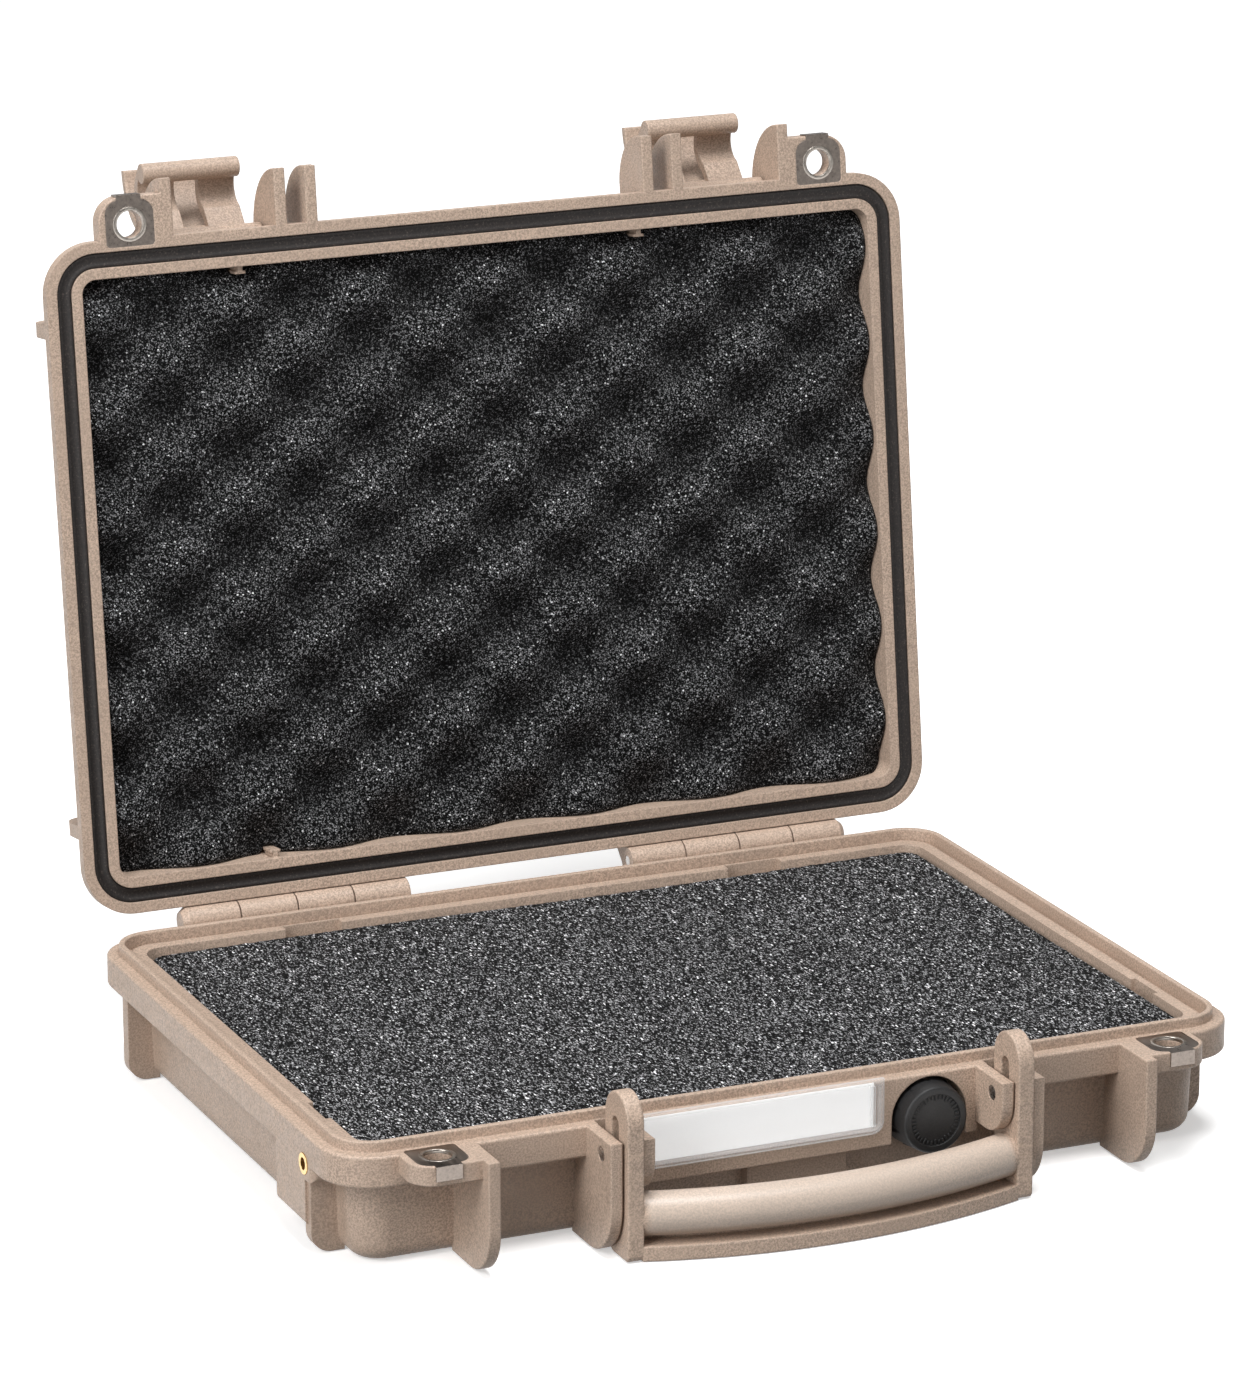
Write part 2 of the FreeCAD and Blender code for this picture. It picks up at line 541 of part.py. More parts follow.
# ---- latches -----------------------------------------------------------------------------------
def make_latch():
    """Right-hand latch, drawn shut: a curled outer wall, a web behind it and the roll that hooks
    under the base's flange. A slot through the web leaves the roll whole."""
    y, z = LATCH_PIVOT_Y, LATCH_PIVOT_Z
    face = LID_FACE
    x0, x1 = LATCH_X - LATCH_WIDTH / 2, LATCH_X + LATCH_WIDTH / 2
    roll_y, roll_z = -115.2, face - 14.75
    outer = [(y - 1.8, z + 3.15), ("arc", (-126.3, face + 10.4), (-134.2, face - 2.4)),
             ("arc", (-136.7, face - 15.35), (-131.1, face - 28.7)), (-128.8, face - 27.0),
             ("arc", (-133.4, face - 15.2), (-131.3, face - 3.6)),
             ("arc", (-124.0, face + 8.4), (y - 2.05, z - 0.95))]
    wall = ease(plate_x(outer, x0, x1), 0.8, 20.0)
    web_outline = [(-125.7, face + 8.25), (-125.1, face + 4.3), (-124.1, face - 4.25),
                   ("arc", (-123.7, face - 11.4), (-118.0, face - 14.9)), (-116.6, face - 17.3),
                   ("arc", (-126.6, face - 12.9), (-127.2, face - 3.1)), (-128.1, face + 4.2)]
    web = plate_x(web_outline, x0, x1)
    slot_outline = [(-117.0, face - 19.0), (-130.0, face - 16.0), (-130.0, face - 5.0),
                    (-124.5, face + 7.5), (-122.0, face + 7.5), (-117.0, face - 10.0)]
    web = web.cut(plate_x(slot_outline, LATCH_X - LATCH_SLOT / 2, LATCH_X + LATCH_SLOT / 2))
    roll = ease(rod_x(LATCH_ROLL_RADIUS, x0, x1, roll_y, roll_z), 0.5, 5.0)
    barrel = rod_x(LATCH_BARREL_RADIUS, x0, x1, y, z)
    latch = fuse([wall, web, barrel, roll])
    return latch.cut(rod_x(LATCH_PIN_RADIUS + RUNNING_CLEARANCE, x0 - 1, x1 + 1, y, z)).removeSplitter()


# ---- handle ------------------------------------------------------------------------------------
def handle_arm():
    """Right-hand arm with its slot, hanging as it stands on the ground."""
    x0, x1 = HANDLE_ARM_X, HANDLE_ARM_X + HANDLE_ARM_THICKNESS
    front, loop = HANDLE_FRONT_Y, HANDLE_LOOP_RADIUS
    loop_y, loop_z = front + loop, HANDLE_PIN_Z + HANDLE_SLOT_TRAVEL + 2.0
    back_low = front + 16.4
    outline = [(front, loop_z), ("arc", (loop_y, loop_z + loop), (loop_y + loop, loop_z)),
               (loop_y + loop, 26.0), (back_low, 13.0), (back_low, 5.0),
               ("arc", (back_low - 1.46, 1.46), (back_low - 5.0, 0.0)), (front + 2.0, 0.0),
               ("arc", (front + 0.6, 0.6), (front, 2.0))]
    arm = ease(plate_x(outline, x0, x1), 0.6, 6.0)
    slot = HANDLE_SLOT_RADIUS
    low, high = HANDLE_PIN_Z, HANDLE_PIN_Z + HANDLE_SLOT_TRAVEL
    arm = arm.cut(rod_x(slot, x0 - 1, x1 + 1, HANDLE_PIN_Y, low))
    arm = arm.cut(rod_x(slot, x0 - 1, x1 + 1, HANDLE_PIN_Y, high))
    return arm.cut(box(x0 - 1, x1 + 1, HANDLE_PIN_Y - slot, HANDLE_PIN_Y + slot, low, high))


def make_handle():
    """Two arms, the round grip between them and the flat bar under it, all bowed forward."""
    half = HANDLE_ARM_X + 0.5
    bow_radius = (half ** 2 + HANDLE_BOW ** 2) / (2 * HANDLE_BOW)
    front = HANDLE_FRONT_Y - HANDLE_BOW
    centre_y = front + bow_radius
    grip_radius, grip_z, bar_top, bar_depth = 7.2, 13.8, 4.9, 10.5
    circle = Part.makeCircle(grip_radius, vec(0, front + grip_radius, grip_z), X_AXIS)
    grip = Part.Face(Part.Wire(circle))
    web = box(-0.5, 0.5, front + 8.8, front + bar_depth, 3.0, grip_z)
    bar = box(-0.5, 0.5, front, front + bar_depth, 0.0, bar_top)
    sections = [grip]
    for block in (web, bar):
        middle = block.slice(X_AXIS, 0.0)[0]
        sections.append(Part.Face(middle))
    sweep = math.degrees(math.asin(half / (bow_radius - bar_depth))) + 1.0
    solids = []
    for section in sections:
        face = section.copy()
        face.rotate(vec(0, centre_y, 0), Z_AXIS, -sweep)
        solids.append(face.revolve(vec(0, centre_y, 0), Z_AXIS, 2 * sweep))
    bowed = fuse(solids).common(box(-half, half, -200, 0, -1, 60))
    handle = fuse([bowed] + both_sides(handle_arm()))
    return handle.removeSplitter()


def make_handle_pin():
    x0, x1 = CLEVIS_INNER_X + 0.2, CLEVIS_OUTER_X + PLATE_THICKNESS - 0.2
    return rod_x(HANDLE_PIN_RADIUS, x0, x1, HANDLE_PIN_Y, HANDLE_PIN_Z)


# ---- small pieces ------------------------------------------------------------------------------
def make_hinge_pin():
    x0 = KNUCKLE_START + 0.4
    return rod_x(HINGE_PIN_RADIUS, x0, HINGE_PIN_END, HINGE_Y, HINGE_Z)


def make_latch_pin():
    return open_lid(rod_x(LATCH_PIN_RADIUS, *latch_pin_span(), LATCH_PIVOT_Y, LATCH_PIVOT_Z))


def make_strap_insert():
    """Right-hand threaded brass insert for a carrying strap."""
    sleeve = rod_x(INSERT_RADIUS, HALF_WIDTH - INSERT_LENGTH, HALF_WIDTH + 0.3, INSERT_Y, INSERT_Z)
    return sleeve.cut(rod_x(INSERT_THREAD_RADIUS, HALF_WIDTH - INSERT_LENGTH + 1, HALF_WIDTH + 1,
                            INSERT_Y, INSERT_Z))


def make_label_card():
    edge = 2.0
    return box(LABEL_X0 + edge, LABEL_X1 - edge - 1.2, FRONT_FACE - LABEL_CARD, FRONT_FACE,
               LABEL_Z0 + edge, BASE_HEIGHT - 0.4)


def make_label_cover():
    """Clear cover over the card, with a bevelled face and a rounded lower right corner."""
    front = FRONT_FACE - LABEL_COVER
    cover = box(LABEL_X0, LABEL_X1, front, FRONT_FACE, LABEL_Z0, LABEL_Z1)
    cover = soften(cover, 4.2, lambda e: e.BoundBox.XMin > LABEL_X1 - 0.01 and e.BoundBox.ZMax < LABEL_Z0 + 0.01)
    edges = [e for e in cover.Edges if e.BoundBox.YMax < front + 0.01]
    cover = cover.makeChamfer(1.4, edges)
    pocket = box(LABEL_X0 + 1.9, LABEL_X1 - 3.1, FRONT_FACE - LABEL_CARD - 0.1, FRONT_FACE,
                 LABEL_Z0 + 1.9, BASE_HEIGHT - 0.3)
    rim_way = box(LABEL_X0 - 1, LABEL_X1 + 1, FRONT_FACE - 0.5, FRONT_FACE + 1, BASE_HEIGHT - 0.1, LABEL_Z1 + 1)
    return cover.cut(pocket).cut(rim_way)


def make_valve_body():
    """Stem and flange of the purge valve, held in the front wall."""
    stem = rod_y(VALVE_STEM_RADIUS, -113.0, -104.2, VALVE_X, VALVE_Z)
    thread = rod_y(VALVE_STEM_RADIUS + 1.5, FRONT_FACE + VALVE_RECESS, -105.2, VALVE_X, VALVE_Z)
    return fuse([stem, thread]).cut(rod_y(1.2, -114.0, -102.0, VALVE_X, VALVE_Z))


def make_valve_seal():
    ring = rod_y(8.4, FRONT_FACE + VALVE_RECESS - 1.6, FRONT_FACE + VALVE_RECESS, VALVE_X, VALVE_Z)
    return ring.cut(rod_y(VALVE_STEM_RADIUS + 0.1, -120.0, -100.0, VALVE_X, VALVE_Z))


def make_valve_knob():
    """Black screw cap with a lobed rim and a shallow dished face."""
    back = FRONT_FACE + VALVE_RECESS - 1.8
    cap = Part.makeCone(VALVE_KNOB_RADIUS, VALVE_FACE_RADIUS, back - VALVE_KNOB_FRONT,
                        vec(VALVE_X, back, VALVE_Z), vec(0, -1, 0))
    cap = soften(cap, 1.0, lambda e: e.BoundBox.YMax < VALVE_KNOB_FRONT + 0.01)
    lobes = 10
    for index in range(lobes):
        angle = math.radians(360 / lobes * (index + 0.5))
        reach = VALVE_KNOB_RADIUS + 1.2
        flute = rod_y(2.2, VALVE_KNOB_FRONT - 1, back + 1,
                      VALVE_X + reach * math.cos(angle), VALVE_Z + reach * math.sin(angle))
        cap = cap.cut(flute)
    dish = rod_y(8.9, VALVE_KNOB_FRONT - 1, VALVE_KNOB_FRONT + 0.7, VALVE_X, VALVE_Z)
    socket = rod_y(VALVE_STEM_RADIUS + RUNNING_CLEARANCE, -113.4, back + 1, VALVE_X, VALVE_Z)
    return cap.cut(dish).cut(socket)


# ---- write the parts ---------------------------------------------------------------------------
def pair(name, right):
    """A right-hand piece and its mirror image, under left and right names."""
    return {name + "_right": right, name + "_left": mirror_x(right)}


parts = {
    "base_shell": make_base_shell(),
    "base_foam_pad": make_base_foam_pad(),
    "base_foam": make_base_foam(),
    "lid_shell": make_lid_shell(),
    "lid_gasket": make_lid_gasket(),
    "lid_foam": make_lid_foam(),
    "handle": make_handle(),
    "label_card": make_label_card(),
    "label_cover": make_label_cover(),
    "purge_valve_body": make_valve_body(),
    "purge_valve_seal": make_valve_seal(),
    "purge_valve_knob": make_valve_knob(),
}
parts.update(pair("latch", open_latch(make_latch())))
parts.update(pair("latch_pin", make_latch_pin()))
parts.update(pair("hinge_pin", make_hinge_pin()))
parts.update(pair("handle_pin", make_handle_pin()))
parts.update(pair("strap_insert", make_strap_insert()))
parts.update(pair("lock_plate_base", lock_plate(BASE_HEIGHT, 1)))
parts.update(pair("lock_plate_lid", open_lid(lock_plate(LID_FACE, -1))))

os.makedirs("parts", exist_ok=True)
for name, shape in sorted(parts.items()):
    shape.exportStep(f"parts/{name}.step")
    print(name, "solids", len(shape.Solids), "valid", shape.isValid(), "volume", round(shape.Volume, 1))
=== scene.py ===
"""Looks for the hard equipment case: materials on the CAD pieces, and foam, gasket and small trim
built around them. Metres, in the case's own frame: +X right, -Y front, +Z up."""

import math

import bmesh
import bpy
import numpy as np
from mathutils import Matrix, Vector


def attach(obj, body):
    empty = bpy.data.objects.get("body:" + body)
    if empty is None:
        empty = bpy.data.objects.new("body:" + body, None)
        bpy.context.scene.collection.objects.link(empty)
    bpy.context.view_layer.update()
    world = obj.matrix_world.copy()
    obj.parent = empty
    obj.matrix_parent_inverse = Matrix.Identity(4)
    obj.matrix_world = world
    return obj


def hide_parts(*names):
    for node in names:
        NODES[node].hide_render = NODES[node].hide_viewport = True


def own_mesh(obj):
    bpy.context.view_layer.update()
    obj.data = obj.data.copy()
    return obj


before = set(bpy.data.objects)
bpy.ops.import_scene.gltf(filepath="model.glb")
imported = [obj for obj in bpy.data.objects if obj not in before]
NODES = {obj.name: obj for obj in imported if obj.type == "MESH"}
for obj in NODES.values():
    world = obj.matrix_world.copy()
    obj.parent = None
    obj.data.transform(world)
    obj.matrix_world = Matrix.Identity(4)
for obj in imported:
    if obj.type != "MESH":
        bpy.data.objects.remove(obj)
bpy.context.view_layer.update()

MM = 0.001

# ---- sizes the looks share with the CAD, in millimetres ------------------------------------------
BASE_FACE = 40.5
LID_FACE = 40.7
LID_ANGLE = 97.0
HINGE = (0.0, 123.5, 41.95)
HALF_WIDTH, HALF_DEPTH, RIM_RADIUS = 163.0, 118.0, 18.0
LOCK = (131.3, -123.0)               # right padlock hole's centre
LOCK_HOLE_RADIUS = 4.8
LABEL = (-60.3, 27.7, 22.8, 41.8, -118.45, -120.6)    # cover's x, z and y ranges
KNOB = (45.0, -123.4, 25.7)          # valve knob's face
FOAM_RIBS = ((-91.5, -1), (-91.5, 1), (60.0, -1))     # lid's T-shaped ribs: x, and front or back wall


def lid_matrix():
    """Carries a point drawn on the shut lid, in metres, to where it stands with the lid open."""
    hinge = Vector(HINGE) * MM
    turn = Matrix.Rotation(math.radians(-LID_ANGLE), 4, "X")
    return Matrix.Translation(hinge) @ turn @ Matrix.Translation(-hinge)


# ---- node helpers --------------------------------------------------------------------------------
class Tree:
    """A material's node tree, with short calls for the nodes used here."""

    def __init__(self, name):
        self.material = bpy.data.materials.new(name)
        self.material.use_nodes = True
        self.tree = self.material.node_tree
        self.shader = self.tree.nodes["Principled BSDF"]
        self.place = self.add("ShaderNodeTexCoord").outputs["Object"]

    def add(self, kind, **values):
        node = self.tree.nodes.new(kind)
        for key, value in values.items():
            setattr(node, key, value)
        return node

    def link(self, source, target):
        self.tree.links.new(source, target)

    def noise(self, scale, detail=2.0, roughness=0.5, stretch=None):
        node = self.add("ShaderNodeTexNoise")
        node.inputs["Scale"].default_value = scale
        node.inputs["Detail"].default_value = detail
        node.inputs["Roughness"].default_value = roughness
        place = self.place
        if stretch:
            mapping = self.add("ShaderNodeMapping")
            mapping.inputs["Scale"].default_value = stretch
            self.link(place, mapping.inputs["Vector"])
            place = mapping.outputs["Vector"]
        self.link(place, node.inputs["Vector"])
        return node.outputs["Fac"]

    def grains(self, scale, stretch=(1.0, 1.0, 1.0), warp=0.0):
        """One random grey for each grain of a cellular pattern, warped by a little noise."""
        mapping = self.add("ShaderNodeMapping")
        mapping.inputs["Scale"].default_value = stretch
        place = self.place
        if warp:
            noise = self.add("ShaderNodeTexNoise")
            noise.inputs["Scale"].default_value = scale * 1.3
            self.link(self.place, noise.inputs["Vector"])
            shift = self.add("ShaderNodeVectorMath", operation="MULTIPLY_ADD")
            shift.inputs[1].default_value = (warp, warp, warp)
            self.link(noise.outputs["Color"], shift.inputs[0])
            self.link(place, shift.inputs[2])
            place = shift.outputs["Vector"]
        self.link(place, mapping.inputs["Vector"])
        node = self.add("ShaderNodeTexVoronoi", feature="F1")
        node.inputs["Scale"].default_value = scale
        self.link(mapping.outputs["Vector"], node.inputs["Vector"])
        split = self.add("ShaderNodeSeparateColor")
        self.link(node.outputs["Color"], split.inputs["Color"])
        return split.outputs["Red"]

    def ramp(self, source, stops):
        """Colour or grey ramp; stops are (place, value or colour)."""
        node = self.add("ShaderNodeValToRGB")
        ramp = node.color_ramp
        while len(ramp.elements) < len(stops):
            ramp.elements.new(0.5)
        for element, (place, value) in zip(ramp.elements, stops):
            element.position = place
            colour = value if isinstance(value, (tuple, list)) else (value,) * 3
            element.color = (*colour[:3], 1.0)
        self.link(source, node.inputs["Fac"])
        return node.outputs["Color"]

    def mix(self, factor, a, b, blend="MIX"):
        """Mixes two colours; factor, a and b are sockets or constants."""
        node = self.add("ShaderNodeMix", data_type="RGBA", blend_type=blend)
        for name, value in (("Factor", factor), ("A", a), ("B", b)):
            socket = next(s for s in node.inputs if s.name == name and s.enabled)
            if isinstance(value, bpy.types.NodeSocket):
                self.link(value, socket)
            elif name == "Factor":
                socket.default_value = value
            else:
                socket.default_value = (*value[:3], 1.0)
        return next(s for s in node.outputs if s.enabled)

    def math(self, operation, a, b=0.0):
        node = self.add("ShaderNodeMath", operation=operation)
        for socket, value in zip(node.inputs, (a, b)):
            if isinstance(value, bpy.types.NodeSocket):
                self.link(value, socket)
            else:
                socket.default_value = value
        return node.outputs[0]

    def bump(self, height, distance, strength=1.0, normal=None):
        node = self.add("ShaderNodeBump")
        node.inputs["Strength"].default_value = strength
        node.inputs["Distance"].default_value = distance
        self.link(height, node.inputs["Height"])
        if normal:
            self.link(normal, node.inputs["Normal"])
        return node.outputs["Normal"]

    def soft_edges(self, radius):
        """Normals that round every sharp edge off by radius, in metres."""
        node = self.add("ShaderNodeBevel", samples=6)
        node.inputs["Radius"].default_value = radius
        return node.outputs["Normal"]

    def zone(self, low, high, half, blur=0.002):
        """1 where the piece lies between two heights and within half of its middle, else 0."""
        split = self.add("ShaderNodeSeparateXYZ")
        self.link(self.place, split.inputs["Vector"])
        x, z = self.math("ABSOLUTE", split.outputs["X"]), split.outputs["Z"]
        inside = None
        for value, limit, sign in ((z, low, 1), (z, high, -1), (x, half, -1)):
            edge = self.math("MULTIPLY_ADD", value, sign / blur)
            edge.node.inputs[2].default_value = -sign * limit / blur
            edge.node.use_clamp = True
            inside = edge if inside is None else self.math("MULTIPLY", inside, edge)
        return inside

    def glow(self, strength):
        """Gives the surface a little white light of its own."""
        self.shader.inputs["Emission Color"].default_value = (1.0, 1.0, 1.0, 1.0)
        self.shader.inputs["Emission Strength"].default_value = strength

    def set(self, **values):
        """Fills in the shader's sockets from constants or other nodes' outputs."""
        names = {"colour": "Base Color", "normal": "Normal", "rough": "Roughness", "metal": "Metallic",
                 "alpha": "Alpha", "specular": "Specular IOR Level", "anisotropic": "Anisotropic",
                 "sheen": "Sheen Weight", "sheen_rough": "Sheen Roughness"}
        for key, value in values.items():
            socket = self.shader.inputs[names[key]]
            if isinstance(value, bpy.types.NodeSocket):
                self.link(value, socket)
            elif isinstance(value, (tuple, list)):
                socket.default_value = (*value[:3], 1.0)
            else:
                socket.default_value = value
        return self.material


# ---- materials -----------------------------------------------------------------------------------
TAN = (0.478, 0.360, 0.281)
FOAM_TINT = (1.0, 1.0, 1.03)
# pale tan painted over the handle's grip: a painted highlight
GRIP_HIGHLIGHT_TAN = (0.66, 0.575, 0.50)
PALE_GLOW = 0.42                     # light of their own that lifts the card and the floor to white


def tinted(strength, colour):
    """A colour made lighter or darker."""
    return tuple(strength * c for c in colour)


def moulded_plastic(name, tone=1.0, edge=0.0006, highlit_zone=None):
    """Spark-eroded tan plastic: crisp speckle, faint mottling, slightly paler rubbed patches. The last
    argument is (lowest, highest, half width) of a zone, in the piece's own metres, made glossier and
    painted paler: a painted highlight."""
    t = Tree(name)
    base = tinted(tone, TAN)
    dark, pale = tinted(0.68, base), tinted(1.32, base)
    speck = t.noise(1500.0, 2.0, 0.75)
    cloud = t.noise(26.0, 3.0, 0.55)
    flow = t.noise(60.0, 2.0, 0.5, stretch=(0.35, 1.0, 1.6))
    grain = t.ramp(speck, [(0.38, dark), (0.5, base), (0.62, pale)])
    mottled = t.mix(t.ramp(cloud, [(0.35, 0.0), (0.7, 0.5)]), grain, tinted(0.90, base))
    rubbed_and_highlit = t.mix(t.ramp(flow, [(0.55, 0.0), (0.8, 0.3)]), mottled, pale)
    rough = t.ramp(t.noise(300.0, 2.0), [(0.3, 0.42), (0.7, 0.56)])
    if highlit_zone:
        zone = t.zone(*highlit_zone)
        # painted highlight: over the grip zone the colour is mixed halfway to a pale tan
        rubbed_and_highlit = t.mix(t.math("MULTIPLY", zone, 0.5), rubbed_and_highlit, GRIP_HIGHLIGHT_TAN)
        rough = t.mix(zone, rough, (0.38, 0.38, 0.38))
    normal = t.bump(speck, 0.00012, 0.6, t.soft_edges(edge))
    return t.set(colour=rubbed_and_highlit, rough=rough, normal=normal, specular=0.5)


def foam(name, tone, sparks, stretch=(1.0, 1.0, 1.0)):
    """Open-cell charcoal foam: black pores, grey struts and a share of struts, sparks, painted near white
    as painted glints. The mesh's depth attribute, 0 on the peaks and 1 in the valleys, says how much
    painted shade darkens the colour for light lost."""
    t = Tree(name)
    coarse = t.grains(2700.0, stretch, warp=0.0002)
    fine = t.grains(4200.0, stretch, warp=0.0002)
    struts = t.math("ADD", t.math("MULTIPLY", coarse, 0.88), t.math("MULTIPLY", fine, 0.12))
    stops = [(0.30, 0.001), (0.56, 0.012), (0.70, 0.09), (0.82, 0.70), (0.92, 1.5)]
    colour = t.ramp(struts, [(place, tinted(grey * tone, FOAM_TINT)) for place, grey in stops])
    # painted glints: a share of grains set near white where struts would catch the light
    shine = t.ramp(t.grains(2000.0, stretch), [(1 - sparks, 0.0), (1 - 0.4 * sparks, 1.0)])
    colour = t.mix(shine, colour, (0.95, 0.95, 0.97))
    # painted shade: the colour is darkened by the mesh's depth attribute, most in the valleys
    depth = t.add("ShaderNodeAttribute", attribute_name="depth")
    shade = t.ramp(depth.outputs["Fac"], [(0.0, 1.0), (0.35, 0.82), (0.7, 0.57), (1.0, 0.44)])
    colour = t.mix(1.0, colour, shade, "MULTIPLY")
    normal = t.bump(struts, 0.0004, 0.5)
    return t.set(colour=colour, rough=0.85, normal=normal, specular=0.1, sheen=0.01, sheen_rough=0.6)


def rubber(name):
    """Black gasket rubber with a dusty fine grain."""
    t = Tree(name)
    speck = t.noise(1300.0, 2.0, 0.75)
    colour = t.ramp(speck, [(0.35, (0.006, 0.0045, 0.004)), (0.6, (0.018, 0.0135, 0.012)),
                            (0.74, (0.080, 0.064, 0.056))])
    return t.set(colour=colour, rough=0.62, normal=t.bump(speck, 0.0001, 0.7), specular=0.4)


def steel(name, colour, rough, stretch):
    """Brushed steel with a fine one-way grain."""
    t = Tree(name)
    grain = t.noise(900.0, 3.0, 0.6, stretch=stretch)
    dark, pale = tinted(0.78, colour), tinted(1.15, colour)
    shade = t.ramp(grain, [(0.3, dark), (0.7, pale)])
    roughness = t.ramp(grain, [(0.3, rough * 0.85), (0.7, rough * 1.25)])
    normal = t.bump(grain, 0.00004, 0.6, t.soft_edges(0.0002))
    return t.set(colour=shade, rough=roughness, metal=1.0, normal=normal, anisotropic=0.4)


def brass(name):
    """Turned brass, slightly dulled."""
    t = Tree(name)
    grain = t.noise(1200.0, 3.0, 0.6)
    shade = t.ramp(grain, [(0.3, (0.62, 0.40, 0.15)), (0.7, (0.85, 0.60, 0.28))])
    normal = t.bump(grain, 0.00004, 0.5, t.soft_edges(0.0002))
    return t.set(colour=shade, rough=0.28, metal=1.0, normal=normal)


def black_plastic(name):
    """Black matt moulded knob with a fine grain and faint dust."""
    t = Tree(name)
    speck = t.noise(1700.0, 3.0, 0.7)
    dust = t.noise(180.0, 4.0, 0.6)
    colour = t.ramp(speck, [(0.3, (0.006, 0.006, 0.0065)), (0.7, (0.018, 0.018, 0.019))])
    colour = t.mix(t.ramp(dust, [(0.56, 0.0), (0.8, 0.2)]), colour, (0.08, 0.08, 0.082))
    rough = t.ramp(dust, [(0.3, 0.46), (0.7, 0.6)])
    normal = t.bump(speck, 0.0001, 0.6, t.soft_edges(0.0005))
    return t.set(colour=colour, rough=rough, normal=normal, specular=0.5)


def paper(name):
    """White label card with a faint fibre."""
    t = Tree(name)
    fibre = t.noise(700.0, 4.0, 0.7)
    colour = t.ramp(fibre, [(0.3, (0.88, 0.885, 0.885)), (0.7, (0.95, 0.95, 0.95))])
    # painted light: the card glows a little to lift it to white
    t.glow(PALE_GLOW)
    return t.set(colour=colour, rough=0.8, normal=t.bump(fibre, 0.00003, 0.3))


def clear_plastic(name):
    """Clear moulded cover: nearly invisible except for its gloss and its edges."""
    t = Tree(name)
    smear = t.noise(120.0, 2.0)
    layer = t.add("ShaderNodeLayerWeight")
    layer.inputs["Blend"].default_value = 0.30
    alpha = t.math("ADD", t.math("MULTIPLY", layer.outputs["Facing"], 0.45), 0.16)
    rough = t.ramp(smear, [(0.3, 0.08), (0.7, 0.2)])
    return t.set(colour=(0.90, 0.905, 0.91), rough=rough, alpha=alpha, specular=0.7)


# the grip lies between these heights over the handle's lowest point, and this far to either side
GRIP_LOW, GRIP_HIGH, GRIP_HALF = 5.6, 22.5, 66.5
HANDLE_LOW = min(corner[2] for corner in NODES["handle"].bound_box)
GRIP_ZONE = (HANDLE_LOW + GRIP_LOW * MM, HANDLE_LOW + GRIP_HIGH * MM, GRIP_HALF * MM)

MATERIALS = {
    "shell": moulded_plastic("tan_shell"),
    # handle: the tan lifted by 3 % and the grip painted paler, a painted highlight
    "handle": moulded_plastic("tan_handle", 1.03, 0.0009, GRIP_ZONE),
    # latch: the tan darkened to 0.91, painted shade for the shade in the latch's hollows
    "latch": moulded_plastic("tan_latch", 0.91),
    "foam_base": foam("foam_base", 0.32, 0.030, (1.0, 0.42, 1.0)),
    "foam_lid": foam("foam_lid", 0.23, 0.014),
    "rubber": rubber("gasket_rubber"),
    "lock": steel("lock_steel", (0.26, 0.222, 0.195), 0.31, (1.0, 0.12, 1.0)),
    "rim": steel("lock_rim_steel", (0.42, 0.38, 0.34), 0.30, (1.0, 0.3, 1.0)),
    "pin": steel("pin_steel", (0.62, 0.60, 0.58), 0.26, (0.1, 1.0, 1.0)),
    "brass": brass("insert_brass"),
    "knob": black_plastic("knob_plastic"),
    "valve": black_plastic("valve_plastic"),
    "paper": paper("label_paper"),
    "clear": clear_plastic("clear_cover"),
}
CAD_LOOKS = {"base_shell": "shell", "lid_shell": "shell", "handle": "handle", "latch_": "latch",
             "latch_pin": "pin", "hinge_pin": "pin", "handle_pin": "pin", "lock_plate": "lock",
             "strap_insert": "brass", "purge_valve_knob": "knob", "purge_valve_body": "valve",
             "purge_valve_seal": "rubber", "label_card": "paper", "label_cover": "clear"}


def dress_cad():
    """Gives each CAD node the look of the longest name in CAD_LOOKS that it starts with."""
    for name, node in NODES.items():
        keys = [key for key in CAD_LOOKS if name.startswith(key)]
        if keys:
            node.data.materials.clear()
            node.data.materials.append(MATERIALS[CAD_LOOKS[max(keys, key=len)]])


# ---- mesh helpers --------------------------------------------------------------------------------
ARC_STEPS = 8                        # straight pieces in a quarter circle
RING_STEPS = 64                      # and in a whole one


def new_piece(name, verts, faces, material, body, stands_for=(), matrix=None, smooth=True):
    """Mesh object from millimetre points, riding on a body and standing for CAD nodes."""
    mesh = bpy.data.meshes.new(name)
    mesh.from_pydata([tuple(c * MM for c in v) for v in verts], [], faces)
    mesh.validate()
    if matrix is not None:
        mesh.transform(matrix)
    mesh.materials.append(MATERIALS[material])
    for polygon in mesh.polygons:
        polygon.use_smooth = smooth
    piece = bpy.data.objects.new(name, mesh)
    bpy.context.scene.collection.objects.link(piece)
    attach(piece, body)
    if stands_for:
        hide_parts(*stands_for)
    return piece


def rounded_outline(half, corner, step):
    """Points round a rounded rectangle, anticlockwise, about step apart."""
    points = []
    for cx, cy, start in ((1, -1, -90), (1, 1, 0), (-1, 1, 90), (-1, -1, 180)):
        ox, oy = cx * (half[0] - corner), cy * (half[1] - corner)
        for k in range(ARC_STEPS + 1):
            angle = math.radians(start + 90 * k / ARC_STEPS)
            points.append((ox + corner * math.cos(angle), oy + corner * math.sin(angle)))
    ring = []
    for i, point in enumerate(points):
        after = points[(i + 1) % len(points)]
        length = math.dist(point, after)
        count = max(1, round(length / step))
        for k in range(count):
            ring.append(tuple(a + (b - a) * k / count for a, b in zip(point, after)))
    return ring


# notches that the lid's ribs press into the foam's edge
NOTCH_HALF_WIDTH, NOTCH_DEPTH, NOTCH_REACH, NOTCH_SLOPE = 3.0, 2.9, 8.0, 0.9
FOAM_ROUGHNESS = 0.07                # how far the cut face's points wander
WALL_LEVELS = 4                      # rows of faces down a slab's side


